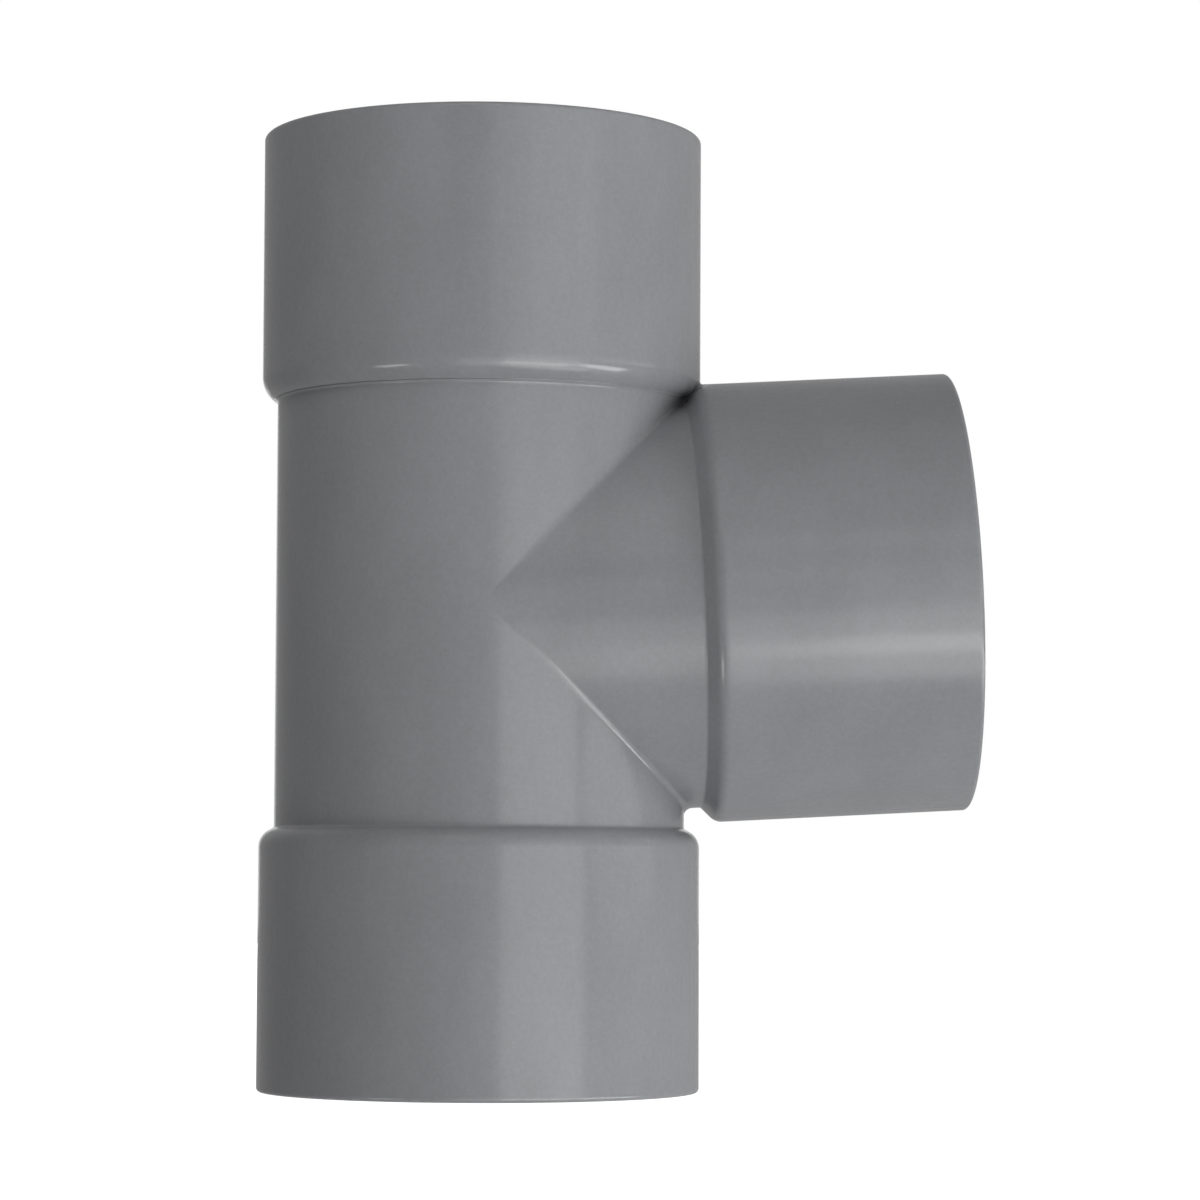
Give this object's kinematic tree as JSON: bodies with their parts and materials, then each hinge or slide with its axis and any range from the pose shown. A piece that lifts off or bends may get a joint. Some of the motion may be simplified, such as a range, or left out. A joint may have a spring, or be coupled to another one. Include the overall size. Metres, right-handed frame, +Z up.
{
  "type": "equal drain tee with solvent-cement sockets",
  "caption": "Moulded grey plastic pipe tee: a straight run with a socket at each end and a side branch of the same size, tilted slightly upward.",
  "frame": {"origin": "centre of the lower socket's mouth plane, on the run's axis, so the tee stands on its lower rim at Z = 0", "axes": "+Z up the run's axis, +X towards the branch, which rises 3 degrees above it, and the part is symmetric about the XZ plane"},
  "size_m": [0.1399, 0.0868, 0.1884],
  "materials": {
    "grey_pvc": "satin moulded PVC-U, plain mid grey, with a fine orange-peel skin"
  },
  "bodies": {
    "root": {"tee_body": "grey_pvc"}
  },
  "joints": []
}
